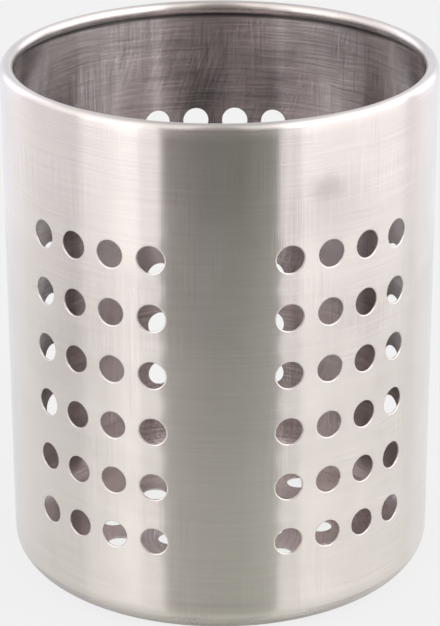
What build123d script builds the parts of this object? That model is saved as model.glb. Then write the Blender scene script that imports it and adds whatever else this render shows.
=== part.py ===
from build123d import *
import math
import os

os.makedirs("parts", exist_ok=True)

# A perforated cutlery holder of stainless sheet: a rolled and punched wall whose
# top edge is curled inwards, a pressed base pan with drain holes, and the two
# dressed welds that join the wall's ends and the wall to the pan.
# The origin is the centre of the base's underside. The front faces -Y.

# Overall sizes
body_diameter = 120.0
overall_height = 146.5
sheet = 0.5

# Rolled rim
curl_radius = 1.8
curl_gap = 0.4

# Base pan
corner_radius = 7.5
pan_collar = 1.5

# Butt welds, both ground flush with the sheet
weld_width = 1.0

# Punched panels in the wall, each a block of round holes
hole_diameter = 7.6
panel_columns = 4
panel_rows = 6
column_pitch = 11.8
row_pitch = 16.3
bottom_row_height = 27.75
# The middle of each panel, in degrees from the front towards +X
front_right_panel_turn = 34.55
right_panel_turn = 103.3
rear_panel_turn = 181.05
left_panel_turn = 254.3
front_left_panel_turn = 325.45

# Square grid of drain holes in the base, turned a little from the front
drain_diameter = 7.2
drain_pitch = 14.9
drain_count = 5
drain_turn = 9.9
drain_edge = 2.0

# Sizes that follow from the ones above
outer_radius = body_diameter / 2
inner_radius = outer_radius - sheet
pan_height = corner_radius + pan_collar
wall_foot = pan_height + weld_width
curl_centre_radius = outer_radius - curl_radius
curl_centre_height = overall_height - curl_radius
curl_foot = curl_centre_height - curl_radius
# The curl stops where its end stands curl_gap away from the inside of the wall
curl_turn = 360 - math.degrees(math.acos((curl_radius - sheet - curl_gap) / curl_radius))
flat_radius = outer_radius - corner_radius
# The two ends of the sheet meet in the widest blank strip, right of the rear panel
seam_angle = (right_panel_turn + rear_panel_turn) / 2
seam_span = math.degrees(weld_width / outer_radius)


def wall_section():
    # Section of the sheet from its foot up and round the inward curl
    curl_centre = (curl_centre_radius, curl_centre_height)
    inner_bend = curl_radius - sheet
    with BuildSketch(Plane.XZ) as section:
        with BuildLine():
            outside = Line((outer_radius, wall_foot), (outer_radius, curl_centre_height))
            outer_bend = CenterArc(curl_centre, curl_radius, 0, curl_turn)
            back = CenterArc(curl_centre, inner_bend, 0, curl_turn)
            Line(outer_bend @ 1, back @ 1)
            inside = Line((inner_radius, curl_centre_height), (inner_radius, wall_foot))
            Line(inside @ 1, outside @ 0)
        make_face()
    return section.sketch


def turned(section, start, span):
    # Sweeps a section about the upright axis, both angles in degrees from the front
    piece = revolve(section, Axis.Z, span)
    return piece.rotate(Axis.Z, start - 90)


def panel_holes():
    # Punches for every panel, each lying across the sheet
    column_turn = math.degrees(column_pitch / outer_radius)
    first_column = -(panel_columns - 1) / 2
    panels = (
        front_right_panel_turn,
        right_panel_turn,
        rear_panel_turn,
        left_panel_turn,
        front_left_panel_turn,
    )
    punch_length = 8 * sheet
    punches = []
    for row in range(panel_rows):
        height = bottom_row_height + row * row_pitch
        if height + hole_diameter / 2 > curl_foot:
            continue
        for panel in panels:
            for column in range(panel_columns):
                turn = panel + (first_column + column) * column_turn
                place = Pos(0, sheet / 2 - outer_radius, height) * Rot(X=90)
                punch = place * Cylinder(hole_diameter / 2, punch_length)
                punches.append(punch.rotate(Axis.Z, turn))
    return punches


def drain_holes():
    # Punches for the base, leaving out any that would reach its rounded corner
    first = -(drain_count - 1) / 2
    reach = flat_radius - drain_diameter / 2 - drain_edge
    punches = []
    for column in range(drain_count):
        for row in range(drain_count):
            x = (first + column) * drain_pitch
            y = (first + row) * drain_pitch
            if math.hypot(x, y) <= reach:
                punch = Pos(x, y, sheet / 2) * Cylinder(drain_diameter / 2, 4 * sheet)
                punches.append(punch.rotate(Axis.Z, drain_turn))
    return punches


def make_wall():
    wall = turned(wall_section(), seam_angle + seam_span / 2, 360 - seam_span)
    return wall - panel_holes()


def make_side_weld():
    # Fills the butt joint over the wall's whole height, the curl included
    return turned(wall_section(), seam_angle - seam_span / 2, seam_span)


def make_base_weld():
    ring = Cylinder(outer_radius, weld_width) - Cylinder(inner_radius, weld_width)
    return Pos(0, 0, pan_height + weld_width / 2) * ring


def make_base_pan():
    inner_corner = corner_radius - sheet
    with BuildSketch(Plane.XZ) as section:
        with BuildLine():
            Line((0, 0), (flat_radius, 0))
            CenterArc((flat_radius, corner_radius), corner_radius, -90, 90)
            Line((outer_radius, corner_radius), (outer_radius, pan_height))
            Line((outer_radius, pan_height), (inner_radius, pan_height))
            Line((inner_radius, pan_height), (inner_radius, corner_radius))
            CenterArc((flat_radius, corner_radius), inner_corner, -90, 90)
            Line((flat_radius, sheet), (0, sheet))
            Line((0, sheet), (0, 0))
        make_face()
    pan = revolve(section.sketch, Axis.Z, 360)
    return pan - drain_holes()


nodes = {
    "perforated_wall": make_wall(),
    "side_seam_weld": make_side_weld(),
    "base_weld": make_base_weld(),
    "base_pan": make_base_pan(),
}

for name, solid in nodes.items():
    solid.label = name
    export_step(solid, f"parts/{name}.step")
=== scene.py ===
import bmesh
import bpy
import math
from mathutils import Matrix, Vector


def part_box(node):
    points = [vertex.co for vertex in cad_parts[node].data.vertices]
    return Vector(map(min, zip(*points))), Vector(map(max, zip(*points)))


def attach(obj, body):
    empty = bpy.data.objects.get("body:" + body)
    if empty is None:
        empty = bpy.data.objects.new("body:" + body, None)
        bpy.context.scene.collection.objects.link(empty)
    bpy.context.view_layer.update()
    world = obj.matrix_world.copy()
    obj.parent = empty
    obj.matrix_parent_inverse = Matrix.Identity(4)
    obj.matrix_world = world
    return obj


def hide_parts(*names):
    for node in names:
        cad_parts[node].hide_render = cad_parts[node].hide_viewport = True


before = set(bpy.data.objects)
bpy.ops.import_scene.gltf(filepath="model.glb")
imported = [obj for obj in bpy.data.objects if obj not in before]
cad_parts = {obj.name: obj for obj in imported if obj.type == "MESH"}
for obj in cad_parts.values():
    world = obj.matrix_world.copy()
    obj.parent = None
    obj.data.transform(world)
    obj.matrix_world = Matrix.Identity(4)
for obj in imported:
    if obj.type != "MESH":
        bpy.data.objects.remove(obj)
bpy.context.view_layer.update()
print("frame loaded")

scene = bpy.context.scene
scene.view_settings.view_transform = "Standard"

# All lengths are in metres, and turns are counted from the front round towards +X.
sheet = 0.0005
wallLow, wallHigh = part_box("perforated_wall")
outerRadius = (wallHigh[0] - wallLow[0]) / 2
innerRadius = outerRadius - sheet


# Small helpers for node trees

def addSocket(tree, name, kind, value=None, output=False):
    side = "OUTPUT" if output else "INPUT"
    socket = tree.interface.new_socket(name=name, in_out=side, socket_type="NodeSocket" + kind)
    if value is not None:
        socket.default_value = value


def feed(tree, socket, value):
    if isinstance(value, bpy.types.NodeSocket):
        tree.links.new(value, socket)
    elif value is not None:
        socket.default_value = value


def addNode(tree, kind, inputs=None, **settings):
    node = tree.nodes.new(kind)
    for name, value in settings.items():
        setattr(node, name, value)
    for name, value in (inputs or {}).items():
        feed(tree, node.inputs[name], value)
    return node


def calc(tree, operation, first, second=None, third=None):
    node = addNode(tree, "ShaderNodeMath", {0: first}, operation=operation)
    feed(tree, node.inputs[1], second)
    feed(tree, node.inputs[2], third)
    return node.outputs[0]


def joinXyz(tree, x, y, z):
    return addNode(tree, "ShaderNodeCombineXYZ", {"X": x, "Y": y, "Z": z}).outputs[0]


def splitXyz(tree, vector):
    return addNode(tree, "ShaderNodeSeparateXYZ", {0: vector}).outputs


def blend(tree, share, first, second):
    node = addNode(tree, "ShaderNodeMix", {"Factor": share, "A": first, "B": second}, data_type="FLOAT")
    return node.outputs["Result"]


def spreadTo(tree, value, fromLow, fromHigh, toLow, toHigh):
    node = addNode(tree, "ShaderNodeMapRange", {"Value": value, "From Min": fromLow, "From Max": fromHigh})
    feed(tree, node.inputs["To Min"], toLow)
    feed(tree, node.inputs["To Max"], toHigh)
    return node.outputs[0]


def smoothRamp(tree, value, low, high, toLow=0.0, toHigh=1.0):
    node = addNode(tree, "ShaderNodeMapRange", {"Value": value}, interpolation_type="SMOOTHSTEP")
    for name, limit in (("From Min", low), ("From Max", high), ("To Min", toLow), ("To Max", toHigh)):
        feed(tree, node.inputs[name], limit)
    return node.outputs[0]


def turnAboutZ(tree, turn):
    node = addNode(tree, "FunctionNodeEulerToRotation", {0: joinXyz(tree, 0.0, 0.0, turn)})
    return node.outputs[0]


# Brushed stainless: fine strokes that run round the cup, with fainter ones across them

patterns = {
    "driftScale": 60.0,  # of the noise that makes the strokes wander
    "contrast": (0.3, 0.7),  # this much of the noise is drawn out to -1 to 1
    "bunchFade": (-0.2, 0.5),  # the strokes that bunch come in over this range of the clouds
    "bunchLeast": 0.25,  # and keep this share elsewhere
    "patchRange": 0.9,
    "edgeScale": 220.0,  # of the noise that makes the marks' edges uneven
    "edgeUnevenness": 0.3,
}


def makeBrushingGroup():
    tree = bpy.data.node_groups.new("roundBrushing", "ShaderNodeTree")
    addSocket(tree, "Vector", "Vector")
    addSocket(tree, "Stroke Length", "Float", 0.02)
    addSocket(tree, "Stroke Width", "Float", 0.0003)
    addSocket(tree, "Stroke Drift", "Float", 0.004)
    addSocket(tree, "Patch Size", "Float", 0.02)
    addSocket(tree, "Slant", "Float", 6.0)
    for name in ("Round", "Across", "Slanted", "Patches"):
        addSocket(tree, name, "Float", output=True)
    given = addNode(tree, "NodeGroupInput").outputs
    x, y, z = splitXyz(tree, given["Vector"])
    radius = calc(tree, "SQRT", calc(tree, "ADD", calc(tree, "MULTIPLY", x, x), calc(tree, "MULTIPLY", y, y)))
    noise = addNode(tree, "ShaderNodeTexNoise", {"Vector": given["Vector"], "Detail": 1.0})
    feed(tree, noise.inputs["Scale"], patterns["driftScale"])
    drift = calc(tree, "MULTIPLY", calc(tree, "SUBTRACT", noise.outputs[0], 0.5), given["Stroke Drift"])
    # climbs up the wall and runs in over the base, wandering a little
    path = calc(tree, "ADD", calc(tree, "ADD", radius, z), drift)

    def pattern(spot, alongXy, alongPath, detail, shift=0.0):
        # -1 to 1, drawn out by the two lengths; each shift gives another pattern
        place = joinXyz(
            tree,
            calc(tree, "DIVIDE", spot[0], alongXy),
            calc(tree, "DIVIDE", spot[1], alongXy),
            calc(tree, "DIVIDE", path, alongPath),
        )
        noise = addNode(tree, "ShaderNodeTexNoise", noise_dimensions="4D")
        for name, value in (("Vector", place), ("W", shift), ("Scale", 1.0), ("Detail", detail)):
            feed(tree, noise.inputs[name], value)
        return spreadTo(tree, noise.outputs[0], *patterns["contrast"], -1.0, 1.0)

    def bunched(strokes, shift):
        # keeps the strokes to some places only
        clouds = pattern((x, y), given["Patch Size"], given["Patch Size"], 1.0, shift)
        share = spreadTo(tree, clouds, *patterns["bunchFade"], patterns["bunchLeast"], 1.0)
        return calc(tree, "MULTIPLY", strokes, share)

    twisted = addNode(tree, "ShaderNodeVectorRotate", {"Vector": given["Vector"]}, rotation_type="Z_AXIS")
    feed(tree, twisted.inputs["Angle"], calc(tree, "MULTIPLY", path, given["Slant"]))
    slantedSpot = splitXyz(tree, twisted.outputs[0])
    length, width, size = given["Stroke Length"], given["Stroke Width"], given["Patch Size"]
    result = addNode(tree, "NodeGroupOutput").inputs
    feed(tree, result["Round"], pattern((x, y), length, width, 3.0))
    feed(tree, result["Across"], bunched(pattern((x, y), width, length, 3.0), 3.0))
    feed(tree, result["Slanted"], bunched(pattern(slantedSpot, width, length, 2.0), 7.0))
    limit = patterns["patchRange"]
    clouds = smoothRamp(tree, pattern((x, y), size, size, 2.0), -limit, limit, -1.0, 1.0)
    feed(tree, result["Patches"], clouds)
    return tree


def makeZoneGroup():
    # Tells the rim, the inside and the crease under the curl from the rest of the cup; the crease is where
    # shade is painted
    tree = bpy.data.node_groups.new("cupZones", "ShaderNodeTree")
    addSocket(tree, "Vector", "Vector")
    addSocket(tree, "Rim Start", "Float", 0.14)
    addSocket(tree, "Rim End", "Float", 0.143)
    addSocket(tree, "Inside Radius", "Float", 0.0595)
    addSocket(tree, "Sheet", "Float", sheet)
    addSocket(tree, "Crease Start", "Float", 0.141)
    addSocket(tree, "Crease End", "Float", 0.142)
    for name in ("Rim", "Inside", "Crease"):
        addSocket(tree, name, "Float", output=True)
    given = addNode(tree, "NodeGroupInput").outputs
    x, y, z = splitXyz(tree, given["Vector"])
    radius = calc(tree, "SQRT", calc(tree, "ADD", calc(tree, "MULTIPLY", x, x), calc(tree, "MULTIPLY", y, y)))

    halfSheet = calc(tree, "MULTIPLY", given["Sheet"], 0.5)
    withinWall = calc(tree, "LESS_THAN", radius, calc(tree, "ADD", given["Inside Radius"], halfSheet))
    aboveBase = calc(tree, "GREATER_THAN", z, halfSheet)
    belowRim = calc(tree, "LESS_THAN", z, given["Rim End"])
    onWall = calc(tree, "GREATER_THAN", radius, calc(tree, "SUBTRACT", given["Inside Radius"], halfSheet))
    creased = calc(tree, "MULTIPLY", calc(tree, "MULTIPLY", withinWall, onWall), belowRim)
    result = addNode(tree, "NodeGroupOutput").inputs
    feed(tree, result["Rim"], smoothRamp(tree, z, given["Rim Start"], given["Rim End"]))
    inside = calc(tree, "MULTIPLY", calc(tree, "MULTIPLY", withinWall, aboveBase), belowRim)
    feed(tree, result["Inside"], inside)
    underCurl = smoothRamp(tree, z, given["Crease Start"], given["Crease End"])
    feed(tree, result["Crease"], calc(tree, "MULTIPLY", creased, underCurl))
    return tree


def makeSpotGroup():
    # An uneven round patch of the wall, 1 at its middle
    tree = bpy.data.node_groups.new("smudgeAndReflectionSpot", "ShaderNodeTree")
    addSocket(tree, "Vector", "Vector")
    for name in ("Turn", "Height", "Half Width", "Half Height"):
        addSocket(tree, name, "Float", 0.01)
    addSocket(tree, "Unevenness", "Float", patterns["edgeUnevenness"])
    addSocket(tree, "Mask", "Float", output=True)
    given = addNode(tree, "NodeGroupInput").outputs
    turned = addNode(tree, "ShaderNodeVectorRotate", {"Vector": given["Vector"]}, rotation_type="Z_AXIS")
    feed(tree, turned.inputs["Angle"], calc(tree, "MULTIPLY", given["Turn"], -1.0))
    x, y, z = splitXyz(tree, turned.outputs[0])
    aside = calc(tree, "DIVIDE", x, given["Half Width"])
    up = calc(tree, "DIVIDE", calc(tree, "SUBTRACT", z, given["Height"]), given["Half Height"])
    away = calc(tree, "SQRT", calc(tree, "MULTIPLY_ADD", aside, aside, calc(tree, "MULTIPLY", up, up)))
    noise = addNode(tree, "ShaderNodeTexNoise", {"Vector": given["Vector"], "Detail": 2.0})
    feed(tree, noise.inputs["Scale"], patterns["edgeScale"])
    wander = calc(tree, "SUBTRACT", noise.outputs[0], 0.5)
    away = calc(tree, "MULTIPLY_ADD", wander, given["Unevenness"], away)
    fade = smoothRamp(tree, away, 0.0, 1.0, 1.0, 0.0)
    facing = calc(tree, "LESS_THAN", y, 0.0)
    result = addNode(tree, "NodeGroupOutput").inputs
    feed(tree, result["Mask"], calc(tree, "MULTIPLY", fade, facing))
    return tree


brushingGroup = makeBrushingGroup()
zoneGroup = makeZoneGroup()
spotGroup = makeSpotGroup()


def makeSteel(name, finish):
    material = bpy.data.materials.new(name)
    material.use_nodes = True
    tree = material.node_tree
    tree.nodes.clear()
    place = addNode(tree, "ShaderNodeTexCoord").outputs["Object"]
    zones = addNode(tree, "ShaderNodeGroup", node_tree=zoneGroup)
    feed(tree, zones.inputs["Vector"], place)
    feed(tree, zones.inputs["Rim Start"], finish["rimStart"])
    feed(tree, zones.inputs["Rim End"], finish["rimEnd"])
    feed(tree, zones.inputs["Inside Radius"], innerRadius)
    feed(tree, zones.inputs["Crease Start"], finish["creaseStart"])
    feed(tree, zones.inputs["Crease End"], finish["creaseEnd"])
    onRim, inside, crease = zones.outputs
    brushing = addNode(tree, "ShaderNodeGroup", node_tree=brushingGroup)
    strokeLength = blend(tree, inside, finish["strokeLength"], finish["insideStrokeLength"])
    feed(tree, brushing.inputs["Vector"], place)
    feed(tree, brushing.inputs["Stroke Length"], strokeLength)
    feed(tree, brushing.inputs["Stroke Width"], finish["strokeWidth"])
    feed(tree, brushing.inputs["Stroke Drift"], finish["strokeDrift"])
    feed(tree, brushing.inputs["Patch Size"], finish["patchSize"])
    feed(tree, brushing.inputs["Slant"], finish["slant"])
    around, across, slanted, patches = brushing.outputs

    # each pattern runs from -1 to 1, and its setting is how far it moves the tone
    tone = 1.0
    for part, outer, inner in (
        (around, "roundTone", "insideRoundTone"),
        (across, "acrossTone", "insideAcrossTone"),
        (slanted, "slantedTone", "insideSlantedTone"),
        (patches, "patchTone", "insidePatchTone"),
    ):
        tone = calc(tree, "MULTIPLY_ADD", part, blend(tree, inside, finish[outer], finish[inner]), tone)
    outside = calc(tree, "SUBTRACT", 1.0, inside)
    # the outer marks are smudges; the inner ones are painted reflection, darker and brighter patches standing
    # in for light and shade mirrored by the inner wall
    marks = [(mark, outside) for mark in finish["marks"]]
    marks += [(mark, inside) for mark in finish["insideReflectionPatches"]]
    for mark, side in marks:
        spot = addNode(tree, "ShaderNodeGroup", node_tree=spotGroup)
        feed(tree, spot.inputs["Vector"], place)
        feed(tree, spot.inputs["Turn"], math.radians(mark["turn"]))
        feed(tree, spot.inputs["Height"], mark["height"])
        feed(tree, spot.inputs["Half Width"], mark["halfSize"][0])
        feed(tree, spot.inputs["Half Height"], mark["halfSize"][1])
        share = calc(tree, "MULTIPLY", spot.outputs["Mask"], side)
        tone = calc(tree, "MULTIPLY_ADD", share, -mark["depth"], tone)
    # painted shade: the wall just under the curl is darkened where the curl shades it
    paintedCreaseShade = calc(tree, "MULTIPLY", crease, finish["creaseShadeDepth"])
    tone = calc(tree, "MULTIPLY", tone, calc(tree, "SUBTRACT", 1.0, paintedCreaseShade))
    # the inside colour is darker partly as painted shade
    colour = addNode(tree, "ShaderNodeMix", data_type="RGBA")
    feed(tree, colour.inputs["Factor"], inside)
    colour.inputs["A"].default_value = (*finish["colour"], 1)
    colour.inputs["B"].default_value = (*finish["insideColourAndShade"], 1)
    shaded = addNode(tree, "ShaderNodeVectorMath", {"Scale": tone}, operation="SCALE")
    feed(tree, shaded.inputs[0], colour.outputs["Result"])

    gloss = blend(tree, inside, finish["roughness"], finish["insideRoughness"])
    gloss = calc(tree, "MULTIPLY_ADD", patches, finish["roughnessSpread"], gloss)
    gloss = blend(tree, onRim, gloss, finish["rimRoughness"])

    height = calc(tree, "MULTIPLY", around, finish["roundDepth"])
    height = calc(tree, "MULTIPLY_ADD", across, finish["acrossDepth"], height)
    bump = addNode(tree, "ShaderNodeBump", {"Height": height, "Strength": 1.0, "Distance": 1.0})

    steel = addNode(tree, "ShaderNodeBsdfPrincipled")
    steel.inputs["Metallic"].default_value = 1.0
    steel.inputs["Anisotropic"].default_value = finish["anisotropy"]
    steel.inputs["Anisotropic Rotation"].default_value = finish["strokeTurn"]
    feed(tree, steel.inputs["Base Color"], shaded.outputs[0])
    feed(tree, steel.inputs["Roughness"], gloss)
    feed(tree, steel.inputs["Normal"], bump.outputs[0])
    tangent = addNode(tree, "ShaderNodeTangent", direction_type="RADIAL", axis="Z")
    feed(tree, steel.inputs["Tangent"], tangent.outputs[0])
    output = addNode(tree, "ShaderNodeOutputMaterial")
    feed(tree, output.inputs["Surface"], steel.outputs[0])
    return material


sheetFinish = {
    "colour": (0.745, 0.685, 0.644),
    # the inside is darker partly for its duller inner face and partly as painted shade for the dim inside of
    # the cup
    "insideColourAndShade": (0.61, 0.558, 0.548),
    "roughness": 0.22,
    "insideRoughness": 0.23,
    "rimRoughness": 0.28,
    "roughnessSpread": 0.01,
    "anisotropy": 1.0,
    "strokeTurn": 0.25,
    "strokeLength": 0.025,
    "insideStrokeLength": 0.016,
    "strokeWidth": 0.0004,
    "strokeDrift": 0.0015,
    "slant": 6.0,  # how fast the slanted scratches turn as they climb
    "patchSize": 0.022,
    "roundTone": 0.045,
    "acrossTone": 0.06,
    "slantedTone": 0.02,
    "patchTone": 0.02,
    "insideRoundTone": 0.24,
    "insideAcrossTone": 0.26,
    "insideSlantedTone": 0.2,
    "insidePatchTone": 0.09,
    "roundDepth": 0.0000008,
    "acrossDepth": 0.000002,
    "rimStart": wallHigh[2] - 0.0045,
    "rimEnd": wallHigh[2] - 0.0018,
    "creaseStart": wallHigh[2] - 0.0058,  # the painted shade under the curl
    "creaseEnd": wallHigh[2] - 0.0046,
    "creaseShadeDepth": 0.8,
    # darker patches, turns in degrees; a depth below 0 is a brighter one
    "marks": (
        {"turn": 27, "height": 0.1276, "halfSize": (0.0085, 0.0052), "depth": 0.18},
        {"turn": 28, "height": 0.1215, "halfSize": (0.017, 0.015), "depth": 0.18},
    ),
    # painted reflection on the inner wall: darker and brighter patches in place of the light and shade it
    # mirrors
    "insideReflectionPatches": (
        {"turn": 188, "height": 0.117, "halfSize": (0.013, 0.034), "depth": 0.46},
        {"turn": 165, "height": 0.115, "halfSize": (0.013, 0.027), "depth": 0.44},
        {"turn": 148, "height": 0.135, "halfSize": (0.017, 0.018), "depth": 0.36},
        {"turn": 157, "height": 0.112, "halfSize": (0.008, 0.02), "depth": -0.35},
        {"turn": 203, "height": 0.118, "halfSize": (0.011, 0.026), "depth": -0.42},
        {"turn": 229, "height": 0.128, "halfSize": (0.016, 0.02), "depth": -0.3},
    ),
}
weldFinish = dict(sheetFinish, colour=(0.72, 0.658, 0.62), roughness=0.25)
panFinish = dict(sheetFinish, insideColourAndShade=(0.66, 0.6, 0.58), marks=(), insideReflectionPatches=())
sheetSteel = makeSteel("brushedSheet", sheetFinish)
weldSteel = makeSteel("dressedWeld", weldFinish)
panSteel = makeSteel("pressedPan", panFinish)
print("steel finishes made")


# One punched cell: a flat rectangle of sheet with a round hole whose edges are rolled over

punching = {
    "around": 32,  # points round a hole, a multiple of 8 so that the corners are met
    "lip": 0.00018,  # the rolled edge
    "support": 0.0004,  # the flat ring round it
    "weldDistance": 0.000001,
}


def cellStep(i):
    # where point i of a quarter of the hole meets the cell's side, from -1 to 1
    return math.tan(math.radians(45 - 360 / punching["around"] * i))


cellSteps = [cellStep(i) for i in range(punching["around"] // 4, -1, -1)]


def indexed(tree, index, values):
    node = addNode(tree, "GeometryNodeIndexSwitch", data_type="FLOAT")
    while len(node.index_switch_items) < len(values):
        node.index_switch_items.new()
    feed(tree, node.inputs["Index"], index)
    for i, value in enumerate(values):
        feed(tree, node.inputs[i + 1], value)
    return node.outputs[0]


def makeCellGroup():
    tree = bpy.data.node_groups.new("punchedCell", "GeometryNodeTree")
    sizes = {"Half Width": 0.006, "Half Height": 0.008, "Hole Radius": 0.0038, "Sheet": sheet}
    for name, value in sizes.items():
        addSocket(tree, name, "Float", value)
    addSocket(tree, "Mesh", "Geometry", output=True)
    given = addNode(tree, "NodeGroupInput").outputs
    radius = given["Hole Radius"]
    thick = given["Sheet"]
    lip, support = punching["lip"], punching["support"]
    roll = lip * (1 - math.sqrt(0.5))
    # Loops from the outer face through the hole to the inner face
    wider = (support, support, lip, roll, 0, 0, roll, lip, support, support)
    radii = [calc(tree, "ADD", radius, more) for more in wider]
    deeper = [calc(tree, "SUBTRACT", thick, less) for less in (lip, roll, 0, 0, 0)]
    depths = [0.0, 0.0, 0.0, roll, lip] + deeper
    loops = len(radii)
    grid = addNode(tree, "GeometryNodeMeshGrid", {"Size X": 1.0, "Size Y": 1.0})
    grid.inputs["Vertices X"].default_value = punching["around"] + 1
    grid.inputs["Vertices Y"].default_value = loops
    across, along, _ = splitXyz(tree, addNode(tree, "GeometryNodeInputPosition").outputs[0])
    turn = calc(tree, "MULTIPLY", calc(tree, "ADD", across, 0.5), math.tau)
    loop = calc(tree, "ROUND", calc(tree, "MULTIPLY", calc(tree, "ADD", along, 0.5), loops - 1.0))
    # the grid's first and last rows
    border = calc(tree, "GREATER_THAN", calc(tree, "ABSOLUTE", along), 0.5 - 0.5 / loops)
    cosine, sine = calc(tree, "COSINE", turn), calc(tree, "SINE", turn)
    largest = calc(tree, "MAXIMUM", calc(tree, "ABSOLUTE", cosine), calc(tree, "ABSOLUTE", sine))
    hole = indexed(tree, loop, radii)

    def place(wave, half):
        # a circle inside, the cell's rectangle on the border
        onBorder = calc(tree, "DIVIDE", half, largest)
        further = calc(tree, "MULTIPLY", border, calc(tree, "SUBTRACT", onBorder, hole))
        return calc(tree, "MULTIPLY", wave, calc(tree, "ADD", hole, further))

    spot = joinXyz(
        tree,
        place(cosine, given["Half Width"]),
        place(sine, given["Half Height"]),
        calc(tree, "MULTIPLY", indexed(tree, loop, depths), -1.0),
    )
    shaped = addNode(tree, "GeometryNodeSetPosition", {"Geometry": grid.outputs["Mesh"], "Position": spot})
    closed = addNode(tree, "GeometryNodeMergeByDistance", {"Geometry": shaped.outputs[0]})
    feed(tree, closed.inputs["Distance"], punching["weldDistance"])
    result = addNode(tree, "NodeGroupOutput").inputs
    feed(tree, result["Mesh"], closed.outputs[0])
    return tree


cellGroup = makeCellGroup()


def addCell(tree, halfWidth, halfHeight, holeRadius, thick):
    cell = addNode(tree, "GeometryNodeGroup", node_tree=cellGroup)
    feed(tree, cell.inputs["Half Width"], halfWidth)
    feed(tree, cell.inputs["Half Height"], halfHeight)
    feed(tree, cell.inputs["Hole Radius"], holeRadius)
    feed(tree, cell.inputs["Sheet"], thick)
    return cell.outputs[0]


def repeat(tree, points, instance, rotation=None):
    node = addNode(tree, "GeometryNodeInstanceOnPoints", {"Points": points, "Instance": instance})
    feed(tree, node.inputs["Rotation"], rotation)
    return node.outputs[0]


def finishTree(tree, geometry, given):
    real = addNode(tree, "GeometryNodeRealizeInstances", {"Geometry": geometry})
    painted = addNode(tree, "GeometryNodeSetMaterial", {"Geometry": real.outputs[0]})
    feed(tree, painted.inputs["Material"], given["Material"])
    result = addNode(tree, "NodeGroupOutput").inputs
    feed(tree, result["Mesh"], painted.outputs[0])


def runTree(tree, seedMesh, values):
    # Evaluates the tree on a small seed mesh and gives back a plain mesh
    holder = bpy.data.objects.new(tree.name + "Holder", seedMesh)
    scene.collection.objects.link(holder)
    modifier = holder.modifiers.new(tree.name, "NODES")
    modifier.node_group = tree
    sockets = {item.name: item.identifier for item in tree.interface.items_tree if item.in_out == "INPUT"}
    for name, value in values.items():
        modifier[sockets[name]] = value
    evaluated = holder.evaluated_get(bpy.context.evaluated_depsgraph_get())
    plain = bpy.data.meshes.new_from_object(evaluated)
    bpy.data.objects.remove(holder)
    return plain


# The wall's punched panels

panels = {
    "columns": 4,
    "rows": 6,
    "columnPitch": 0.0118,
    "rowPitch": 0.0163,
    "bottomRow": 0.02775,
    "holeRadius": 0.0038,
    "turns": (181.05, 254.3, 325.45, 394.55, 463.3),  # in the order met from the seam
}
columnTurn = panels["columnPitch"] / outerRadius


def makePanelTree():
    tree = bpy.data.node_groups.new("punchedPanels", "GeometryNodeTree")
    addSocket(tree, "Mesh", "Geometry")
    addSocket(tree, "Columns", "Int", 4)
    addSocket(tree, "Rows", "Int", 6)
    for name in ("Column Pitch", "Row Pitch", "Bottom Row", "Hole Radius", "Sheet", "Wall Radius"):
        addSocket(tree, name, "Float", 0.01)
    addSocket(tree, "Material", "Material")
    addSocket(tree, "Mesh", "Geometry", output=True)
    given = addNode(tree, "NodeGroupInput").outputs

    halfWidth = calc(tree, "MULTIPLY", given["Column Pitch"], 0.5)
    halfHeight = calc(tree, "MULTIPLY", given["Row Pitch"], 0.5)
    cell = addCell(tree, halfWidth, halfHeight, given["Hole Radius"], given["Sheet"])
    # bend the flat cell to the wall's radius
    x, y, z = splitXyz(tree, addNode(tree, "GeometryNodeInputPosition").outputs[0])
    turn = calc(tree, "DIVIDE", x, given["Wall Radius"])
    radius = calc(tree, "ADD", given["Wall Radius"], z)
    spot = joinXyz(
        tree,
        calc(tree, "MULTIPLY", radius, calc(tree, "SINE", turn)),
        calc(tree, "MULTIPLY", calc(tree, "MULTIPLY", radius, calc(tree, "COSINE", turn)), -1.0),
        y,
    )
    bent = addNode(tree, "GeometryNodeSetPosition", {"Geometry": cell, "Position": spot}).outputs[0]

    rows = addNode(tree, "GeometryNodeMeshLine", {"Count": given["Rows"]})
    feed(tree, rows.inputs["Start Location"], joinXyz(tree, 0.0, 0.0, given["Bottom Row"]))
    feed(tree, rows.inputs["Offset"], joinXyz(tree, 0.0, 0.0, given["Row Pitch"]))
    column = repeat(tree, rows.outputs[0], bent)

    columns = addNode(tree, "GeometryNodeMeshLine", {"Count": given["Columns"], "Offset": (0.0, 0.0, 0.0)})
    index = addNode(tree, "GeometryNodeInputIndex").outputs[0]
    middle = calc(tree, "MULTIPLY", calc(tree, "SUBTRACT", given["Columns"], 1.0), 0.5)
    order = calc(tree, "SUBTRACT", index, middle)
    step = calc(tree, "DIVIDE", given["Column Pitch"], given["Wall Radius"])
    panel = repeat(tree, columns.outputs[0], column, turnAboutZ(tree, calc(tree, "MULTIPLY", order, step)))

    stored = addNode(tree, "GeometryNodeInputNamedAttribute", {"Name": "turn"}, data_type="FLOAT")
    finishTree(tree, repeat(tree, given["Mesh"], panel, turnAboutZ(tree, stored.outputs[0])), given)
    return tree


def makePanelMesh():
    seed = bpy.data.meshes.new("panelPlaces")
    seed.from_pydata([(0, 0, 0)] * len(panels["turns"]), [], [])
    turns = seed.attributes.new("turn", "FLOAT", "POINT")
    turns.data.foreach_set("value", [math.radians(turn) for turn in panels["turns"]])
    values = {
        "Columns": panels["columns"],
        "Rows": panels["rows"],
        "Column Pitch": panels["columnPitch"],
        "Row Pitch": panels["rowPitch"],
        "Bottom Row": panels["bottomRow"],
        "Hole Radius": panels["holeRadius"],
        "Sheet": sheet,
        "Wall Radius": outerRadius,
        "Material": sheetSteel,
    }
    return runTree(makePanelTree(), seed, values)


# Shells of revolution about the cup's axis

def at(turn, radius, height):
    return Vector((radius * math.sin(turn), -radius * math.cos(turn), height))


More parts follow.
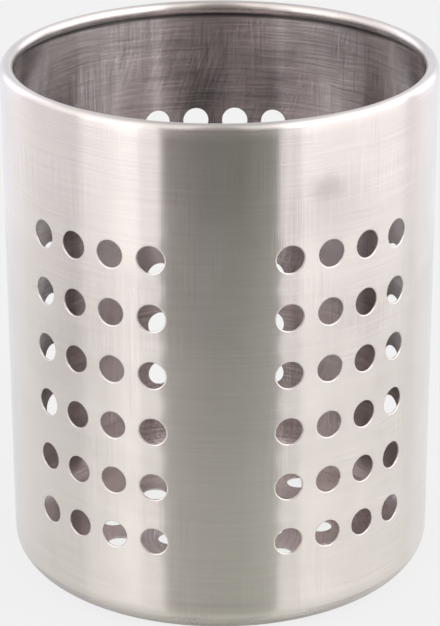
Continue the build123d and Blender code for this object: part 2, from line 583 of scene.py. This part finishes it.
def revolveShell(mesh, section, turns, closed, leaveOut=None):
    # section is a closed loop of (radius, height), turned through the given turns
    rings = [[mesh.verts.new(at(turn, *point)) for point in section] for turn in turns]
    pairs = list(zip(rings, rings[1:])) + ([(rings[-1], rings[0])] if closed else [])
    for i, (ring, following) in enumerate(pairs):
        for j in range(len(section)):
            k = (j + 1) % len(section)
            if leaveOut and leaveOut(i, j):
                continue
            mesh.faces.new((ring[j], following[j], following[k], ring[k]))
    if not closed:
        mesh.faces.new(rings[0])
        mesh.faces.new(rings[-1])


def spread(first, last, count):
    return [first + (last - first) * i / count for i in range(count + 1)]


pieceFinish = {
    "weldDistance": 0.000004,
    "sharpAngle": 50,
}


def makePiece(name, mesh, material):
    bmesh.ops.remove_doubles(mesh, verts=mesh.verts, dist=pieceFinish["weldDistance"])
    bmesh.ops.recalc_face_normals(mesh, faces=mesh.faces)
    data = bpy.data.meshes.new(name)
    mesh.to_mesh(data)
    mesh.free()
    data.materials.clear()
    data.materials.append(material)
    for face in data.polygons:
        face.material_index = 0
    data.shade_smooth()
    data.set_sharp_from_angle(angle=math.radians(pieceFinish["sharpAngle"]))
    piece = bpy.data.objects.new(name, data)
    scene.collection.objects.link(piece)
    return piece


# The rolled wall with its inward curl

rim = {
    "radius": 0.0018,
    "gap": 0.0004,
    "steps": 28,
}
wallSteps = {
    "foot": 5,  # below the punched rows
    "top": 12,  # above them
    "strip": 18,  # across each blank strip
}
wallFoot, wallTop = wallLow[2], wallHigh[2]
seam = {
    "turn": 142.175,
    "width": 0.001,
}
seamSpan = seam["width"] / outerRadius
curlRadius = outerRadius - rim["radius"]
curlHeight = wallTop - rim["radius"]
curlTurn = math.tau - math.acos((rim["radius"] - sheet - rim["gap"]) / rim["radius"])

panelLow = panels["bottomRow"] - panels["rowPitch"] / 2
panelHigh = panelLow + panels["rows"] * panels["rowPitch"]
rowHeights = [panelLow]
for row in range(panels["rows"]):
    middle = panelLow + (row + 0.5) * panels["rowPitch"]
    rowHeights += [middle + step * panels["rowPitch"] / 2 for step in cellSteps[1:]]


def wallSection():
    belowRows = spread(wallFoot, panelLow, wallSteps["foot"])[:-1]
    aboveRows = spread(panelHigh, curlHeight, wallSteps["top"])[1:]
    heights = belowRows + rowHeights + aboveRows
    outside = [(outerRadius, height) for height in heights]
    inside = [(innerRadius, height) for height in reversed(heights)]
    curl = spread(0, curlTurn, rim["steps"])[1:]
    over = [(rim["radius"], turn) for turn in curl]
    under = [(rim["radius"] - sheet, turn) for turn in reversed(curl)]
    rolled = [(curlRadius + r * math.cos(turn), curlHeight + r * math.sin(turn)) for r, turn in over + under]
    return outside + rolled + inside


def wallTurns():
    # finer inside the panels, where the columns of cells join on
    start = math.radians(seam["turn"]) + seamSpan / 2
    turns, isPanel = [start], []
    for degrees in panels["turns"]:
        centre = math.radians(degrees)
        first = centre - panels["columns"] / 2 * columnTurn
        gap = spread(turns[-1], first, wallSteps["strip"])[1:]
        turns += gap
        isPanel += [False] * len(gap)
        for column in range(panels["columns"]):
            middle = first + (column + 0.5) * columnTurn
            cell = [middle + step * columnTurn / 2 for step in cellSteps[1:]]
            turns += cell
            isPanel += [True] * len(cell)
    gap = spread(turns[-1], start + math.tau - seamSpan, wallSteps["strip"])[1:]
    return turns + gap, isPanel + [False] * len(gap)


def makeWall():
    section = wallSection()
    turns, isPanel = wallTurns()

    def punched(i, j):
        (radius, height), (nextRadius, nextHeight) = section[j], section[(j + 1) % len(section)]
        middle = (height + nextHeight) / 2
        return isPanel[i] and radius == nextRadius and panelLow < middle < panelHigh

    mesh = bmesh.new()
    revolveShell(mesh, section, turns, closed=False, leaveOut=punched)
    mesh.from_mesh(makePanelMesh())
    return makePiece("punchedWall", mesh, sheetSteel)


def makeSeamWeld():
    mesh = bmesh.new()
    middle = math.radians(seam["turn"])
    turns = [middle - seamSpan / 2, middle, middle + seamSpan / 2]
    revolveShell(mesh, wallSection(), turns, closed=False)
    return makePiece("seamWeld", mesh, weldSteel)


wall = makeWall()
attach(wall, "root")
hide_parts("perforated_wall")
seamWeld = makeSeamWeld()
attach(seamWeld, "root")
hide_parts("side_seam_weld")
print("wall made:", len(wall.data.polygons), "faces")


# The base: a pressed pan with a square block of drain holes

drains = {
    "count": 5,
    "pitch": 0.0149,
    "holeRadius": 0.0036,
    "turn": 9.9,
}
pan = {
    "corner": 0.0075,
    "cornerSteps": 12,
    "blockShare": 0.985,  # how far out in the flat the block of drain cells may reach
    "weldSteps": 240,
}
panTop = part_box("base_pan")[1][2]
flatRadius = outerRadius - pan["corner"]
blockReach = flatRadius * pan["blockShare"]


def makeDrainTree():
    tree = bpy.data.node_groups.new("drainHoles", "GeometryNodeTree")
    addSocket(tree, "Mesh", "Geometry")
    addSocket(tree, "Count", "Int", 5)
    for name in ("Pitch", "Hole Radius", "Sheet", "Turn"):
        addSocket(tree, name, "Float", 0.01)
    addSocket(tree, "Material", "Material")
    addSocket(tree, "Mesh", "Geometry", output=True)
    given = addNode(tree, "NodeGroupInput").outputs
    half = calc(tree, "MULTIPLY", given["Pitch"], 0.5)
    cell = addCell(tree, half, half, given["Hole Radius"], given["Sheet"])
    faceDown = addNode(tree, "GeometryNodeTransform", {"Geometry": cell, "Rotation": (math.pi, 0.0, 0.0)})
    size = calc(tree, "MULTIPLY", calc(tree, "SUBTRACT", given["Count"], 1.0), given["Pitch"])
    places = addNode(tree, "GeometryNodeMeshGrid", {"Size X": size, "Size Y": size})
    feed(tree, places.inputs["Vertices X"], given["Count"])
    feed(tree, places.inputs["Vertices Y"], given["Count"])
    block = repeat(tree, places.outputs["Mesh"], faceDown.outputs[0])
    turned = addNode(tree, "GeometryNodeTransform", {"Geometry": block})
    feed(tree, turned.inputs["Rotation"], turnAboutZ(tree, given["Turn"]))
    finishTree(tree, turned.outputs[0], given)
    return tree


def drawnIn(spot):
    # keeps the corners of the block of cells in the flat
    reach = math.hypot(spot[0], spot[1])
    pull = min(1.0, blockReach / reach) if reach > 0 else 1.0
    return Vector((spot[0] * pull, spot[1] * pull, spot[2]))


def blockBorder():
    # the points round the block of cells, in order, as (x, y)
    half = drains["count"] * drains["pitch"] / 2
    side = [-half]
    for cell in range(drains["count"]):
        middle = -half + (cell + 0.5) * drains["pitch"]
        side += [middle + step * drains["pitch"] / 2 for step in cellSteps[1:]]
    side = side[:-1]
    corners = [(s, -half) for s in side] + [(half, s) for s in side]
    corners += [(-s, half) for s in side] + [(-half, -s) for s in side]
    turned = Matrix.Rotation(math.radians(drains["turn"]), 2)
    return [turned @ Vector(corner) for corner in corners]


def makePan():
    values = {
        "Count": drains["count"],
        "Pitch": drains["pitch"],
        "Hole Radius": drains["holeRadius"],
        "Sheet": sheet,
        "Turn": math.radians(drains["turn"]),
        "Material": panSteel,
    }
    seed = bpy.data.meshes.new("drainSeed")
    block = runTree(makeDrainTree(), seed, values)
    for vertex in block.vertices:
        vertex.co = drawnIn(vertex.co)
    mesh = bmesh.new()
    mesh.from_mesh(block)

    border = blockBorder()
    turns = [math.atan2(spot[0], -spot[1]) for spot in border]
    bend = pan["corner"] - sheet
    outside, inside = [], []
    for turn in spread(-math.pi / 2, 0, pan["cornerSteps"]):
        outside.append((flatRadius + pan["corner"] * math.cos(turn), pan["corner"] * (1 + math.sin(turn))))
        inside.append((flatRadius + bend * math.cos(turn), pan["corner"] + bend * math.sin(turn)))
    section = outside + [(outerRadius, panTop), (innerRadius, panTop)] + inside[::-1]

    rings = []
    for spot, turn in zip(border, turns):
        lower, upper = drawnIn((*spot, 0.0)), drawnIn((*spot, sheet))
        ring = [lower] + [at(turn, *point) for point in section] + [upper]
        rings.append([mesh.verts.new(place) for place in ring])
    for ring, following in zip(rings, rings[1:] + rings[:1]):
        for j in range(len(ring) - 1):
            mesh.faces.new((ring[j], following[j], following[j + 1], ring[j + 1]))
    return makePiece("basePan", mesh, panSteel)


def makeBaseWeld():
    outside = [(outerRadius, panTop), (outerRadius, wallFoot)]
    inside = [(innerRadius, wallFoot), (innerRadius, panTop)]
    mesh = bmesh.new()
    revolveShell(mesh, outside + inside, spread(0, math.tau, pan["weldSteps"])[:-1], closed=True)
    return makePiece("baseWeld", mesh, weldSteel)


basePan = makePan()
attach(basePan, "root")
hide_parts("base_pan")
baseWeld = makeBaseWeld()
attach(baseWeld, "root")
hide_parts("base_weld")
print("base made:", len(basePan.data.polygons), "faces")


# The studio: a pale floor and surround, a dark side behind the camera and softboxes at the sides

studio = {
    "backdrop": 0.887,  # what the camera sees all round
    "front": {"turns": (-29.9, 30.4), "edges": (1.8, 0.8)},
    "frontMiddle": 12.0,  # where it is darkest
    "frontLow": 0.137,
    "frontRise": 0.42,  # more light overhead
    "frontCurve": 0.38,  # and towards the sides, at half the front's width
    "frontTints": ((1.0, 0.92, 0.935), (1.0, 1.01, 0.95)),  # left, right
    "frontTintEdge": 8,
    "rearTint": (0.98, 0.97, 1.01),
    "backStart": 140,
    "backEdge": 20,
    "backTint": (0.94, 0.98, 1.05),
    "rearLow": 1.03,
    "rearRise": -0.5,
    # turns and edges in degrees, heights as sines of elevations; a strength below 0 is a dark stand
    "softboxes": (
        {"turns": (-74, -30.6), "edges": (3, 1), "heights": (-0.22, 0.2), "strength": 0.72},
        {"turns": (-56, -41.7), "edges": (9, 1), "heights": (-0.22, 0.2), "strength": 1.0},
        {"turns": (-74, -41.7), "edges": (3, 1), "heights": (-0.1, 0.85), "strength": 0.5},
        {"turns": (-112, -76), "edges": (6, 3), "heights": (-0.9, 0.1), "strength": -0.09},
        {"turns": (-148, -121), "edges": (6, 5), "heights": (-0.22, 0.6), "strength": 0.58,
         "tint": (1.0, 0.96, 1.22)},
        {"turns": (41.8, 109), "edges": (1, 3), "heights": (0.0, 0.85), "strength": 0.95},
        {"turns": (41.8, 109), "edges": (1, 3), "heights": (-0.28, 0.2), "strength": 0.55},
        {"turns": (30.4, 62), "edges": (1, 10), "heights": (-0.1, 0.2), "strength": 0.15},
        {"turns": (17, 30.4), "edges": (6, 0.8), "heights": (-0.9, 0.9), "strength": 0.05},
        {"turns": (38, 40.6), "edges": (1, 0.6), "heights": (-0.9, 0.3), "strength": -0.15},
        {"turns": (121, 146), "edges": (4, 6), "heights": (-0.22, 0.6), "strength": 0.8,
         "tint": (0.97, 0.97, 1.12)},
        {"turns": (-105, -40), "edges": (8, 8), "heights": (0.3, 1.2), "strength": 0.4},
        {"turns": (-40, -17), "edges": (8, 4), "heights": (0.3, 1.2), "strength": 0.7},
        {"turns": (15, 36), "edges": (4, 6), "heights": (0.3, 1.2), "strength": 0.7},
        {"turns": (-155, -70), "edges": (8, 8), "heights": (0.1, 0.8), "strength": 0.4},
        {"turns": (34, 155), "edges": (3, 8), "heights": (0.1, 0.8), "strength": 0.5},
        {"turns": (34, 54), "edges": (3, 8), "heights": (0.1, 0.8), "strength": 0.6},
    ),
    "fade": 0.15,  # the height over which a softbox fades in and out
}


def makeWorld():
    world = bpy.data.worlds.new("studioSurround")
    scene.world = world
    world.use_nodes = True
    tree = world.node_tree
    tree.nodes.clear()
    x, y, z = splitXyz(tree, addNode(tree, "ShaderNodeTexCoord").outputs["Generated"])
    turn = calc(tree, "ARCTAN2", x, calc(tree, "MULTIPLY", y, -1.0))
    upward = calc(tree, "MAXIMUM", z, 0.0)

    def step(value, middle, edge):
        return smoothRamp(tree, value, middle - edge, middle + edge)

    def turnStep(middle, edge):
        return step(turn, math.radians(middle), math.radians(edge))

    def within(span):
        # 1 between the two turns of a softbox or of the dark front
        begun, ended = [turnStep(middle, edge) for middle, edge in zip(span["turns"], span["edges"])]
        return calc(tree, "SUBTRACT", begun, ended)

    def tinted(tint, strength):
        node = addNode(tree, "ShaderNodeVectorMath", {0: tint, "Scale": strength}, operation="SCALE")
        return node.outputs[0]

    def added(first, second):
        return addNode(tree, "ShaderNodeVectorMath", {0: first, 1: second}, operation="ADD").outputs[0]

    front = within(studio["front"])
    sides = calc(tree, "SUBTRACT", 1.0, front)
    middle = math.radians(studio["frontMiddle"])
    first, last = studio["front"]["turns"]
    halfFront = math.radians(last - first) / 2
    aside = calc(tree, "DIVIDE", calc(tree, "SUBTRACT", turn, middle), halfFront)
    squared = calc(tree, "MULTIPLY", aside, aside)
    curve = calc(tree, "MULTIPLY_ADD", squared, studio["frontCurve"], 1.0)
    frontTone = calc(tree, "MULTIPLY_ADD", upward, studio["frontRise"], studio["frontLow"])
    frontTone = calc(tree, "MULTIPLY", calc(tree, "MULTIPLY", frontTone, curve), front)
    right = turnStep(0.0, studio["frontTintEdge"])
    left = calc(tree, "SUBTRACT", 1.0, right)
    leftTint, rightTint = studio["frontTints"]
    shown = tinted(leftTint, calc(tree, "MULTIPLY", frontTone, left))
    shown = added(shown, tinted(rightTint, calc(tree, "MULTIPLY", frontTone, right)))

    fade = studio["fade"] / 2
    rearTone = calc(tree, "MULTIPLY_ADD", upward, studio["rearRise"], studio["rearLow"])
    backStart, backEdge = math.radians(studio["backStart"]), math.radians(studio["backEdge"])
    back = step(calc(tree, "ABSOLUTE", turn), backStart, backEdge)
    beside = calc(tree, "SUBTRACT", sides, back)
    shown = added(shown, tinted(studio["rearTint"], calc(tree, "MULTIPLY", rearTone, beside)))
    shown = added(shown, tinted(studio["backTint"], calc(tree, "MULTIPLY", rearTone, back)))
    for box in studio["softboxes"]:
        foot, top = box["heights"]
        aboveFoot = step(z, foot + fade, fade)
        belowTop = calc(tree, "SUBTRACT", 1.0, step(z, top + fade, fade))
        share = calc(tree, "MULTIPLY", calc(tree, "MULTIPLY", within(box), aboveFoot), belowTop)
        tint = box.get("tint", (1.0, 1.0, 1.0))
        shown = added(shown, tinted(tint, calc(tree, "MULTIPLY", share, box["strength"])))

    rays = addNode(tree, "ShaderNodeLightPath").outputs
    seen = calc(tree, "MAXIMUM", rays["Is Camera Ray"], rays["Is Transmission Ray"])
    pale = studio["backdrop"]
    final = addNode(tree, "ShaderNodeMix", data_type="RGBA")
    feed(tree, final.inputs["Factor"], seen)
    feed(tree, final.inputs["A"], shown)
    final.inputs["B"].default_value = (pale, pale, pale, 1)
    background = addNode(tree, "ShaderNodeBackground", {"Strength": 1.0})
    feed(tree, background.inputs["Color"], final.outputs["Result"])
    output = addNode(tree, "ShaderNodeOutputWorld")
    feed(tree, output.inputs["Surface"], background.outputs[0])


floorStage = {
    "radius": 0.3,
    "segments": 96,
    "drop": 0.0001,  # so that it doesn't coincide with the cup's underside
    "colour": (0.66, 0.7, 0.64),
    "plain": 0.93,  # how far the camera sees it as the backdrop's colour; the rest keeps the shadow
    "glaze": 0.95,  # how far the surround shows in its place in the metal, at grazing angles
    # In the metal it darkens outwards, most at the sides and little behind the cup
    "outer": (0.12, 0.22),
    "frontShare": 0.2,
    "side": (0.14, 0.22),
    "sideShare": 0.36,
    "behind": (-0.08, 0.06),
    "behindShare": 0.2,
}


def makeFloor():
    mesh = bmesh.new()
    lowered = Matrix.Translation((0, 0, -floorStage["drop"]))
    segments, radius = floorStage["segments"], floorStage["radius"]
    bmesh.ops.create_circle(mesh, cap_ends=True, segments=segments, radius=radius, matrix=lowered)
    data = bpy.data.meshes.new("floor")
    mesh.to_mesh(data)
    mesh.free()
    floor = bpy.data.objects.new("floor", data)
    scene.collection.objects.link(floor)
    material = bpy.data.materials.new("paleFloor")
    material.use_nodes = True
    tree = material.node_tree
    tree.nodes.clear()

    def mixed(share, first, second):
        return addNode(tree, "ShaderNodeMixShader", {0: share, 1: first.outputs[0], 2: second.outputs[0]})

    pale = studio["backdrop"]
    matte = addNode(tree, "ShaderNodeBsdfDiffuse", {"Color": (*floorStage["colour"], 1)})
    lit = addNode(tree, "ShaderNodeEmission", {"Color": (pale, pale, pale, 1), "Strength": 1.0})
    rays = addNode(tree, "ShaderNodeLightPath").outputs
    seen = calc(tree, "MAXIMUM", rays["Is Camera Ray"], rays["Is Transmission Ray"])
    shown = mixed(calc(tree, "MULTIPLY", seen, floorStage["plain"]), matte, lit)
    clear = addNode(tree, "ShaderNodeBsdfTransparent")
    facing = addNode(tree, "ShaderNodeLayerWeight", {"Blend": 0.5}).outputs["Facing"]
    hidden = calc(tree, "MULTIPLY", rays["Is Glossy Ray"], facing)
    whole = mixed(calc(tree, "MULTIPLY", hidden, floorStage["glaze"]), shown, clear)

    spot = addNode(tree, "ShaderNodeTexCoord").outputs["Object"]
    x, y, _ = splitXyz(tree, spot)
    away = addNode(tree, "ShaderNodeVectorMath", {0: spot}, operation="LENGTH").outputs["Value"]
    outer = smoothRamp(tree, away, *floorStage["outer"])
    side = smoothRamp(tree, calc(tree, "ABSOLUTE", x), *floorStage["side"])
    behind = smoothRamp(tree, y, *floorStage["behind"])
    share = blend(tree, side, floorStage["frontShare"], floorStage["sideShare"])
    share = calc(tree, "MULTIPLY", share, blend(tree, behind, 1.0, floorStage["behindShare"]))
    share = calc(tree, "MULTIPLY", calc(tree, "MULTIPLY", share, outer), rays["Is Glossy Ray"])
    black = addNode(tree, "ShaderNodeBsdfDiffuse", {"Color": (0, 0, 0, 1)})
    darkened = mixed(share, whole, black)
    output = addNode(tree, "ShaderNodeOutputMaterial")
    feed(tree, output.inputs["Surface"], darkened.outputs[0])
    data.materials.append(material)


topLamp = {
    "size": 0.8,
    "power": 0.3,
    "height": 1.2,
    "distance": 0.1,  # in front of the cup's axis
    "aim": 0.08,  # the height on the axis that it points at
}


def makeTopLamp():
    lamp = bpy.data.lights.new("topLamp", "AREA")
    lamp.shape = "SQUARE"
    lamp.size = topLamp["size"]
    lamp.energy = topLamp["power"]
    holder = bpy.data.objects.new("topLamp", lamp)
    holder.location = at(0.0, topLamp["distance"], topLamp["height"])
    aim = Vector((0, 0, topLamp["aim"])) - holder.location
    holder.rotation_euler = aim.to_track_quat("-Z", "Y").to_euler()
    scene.collection.objects.link(holder)


makeWorld()
makeFloor()
makeTopLamp()
print("studio made")


# The camera stands at the photograph's viewing angle

camera = {
    "distance": 0.6729,
    "height": 0.3476,
    "turn": -0.19,
    "tilt": 22.348,
    "roll": -0.126,
    "lens": 147.02,
    "sensor": 36.0,
    "clipStart": 0.01,
}
view = bpy.data.objects.new("camera", bpy.data.cameras.new("camera"))
view.data.lens = camera["lens"]
view.data.sensor_width = camera["sensor"]
view.data.clip_start = camera["clipStart"]
turned = Matrix.Rotation(math.radians(camera["turn"]), 4, "Z")
tilted = Matrix.Rotation(math.radians(90 - camera["tilt"]), 4, "X")
rolled = Matrix.Rotation(math.radians(camera["roll"]), 4, "Z")
stand = at(math.radians(camera["turn"]), camera["distance"], camera["height"])
view.matrix_world = Matrix.Translation(stand) @ turned @ tilted @ rolled
scene.collection.objects.link(view)
scene.camera = view
print("camera set")
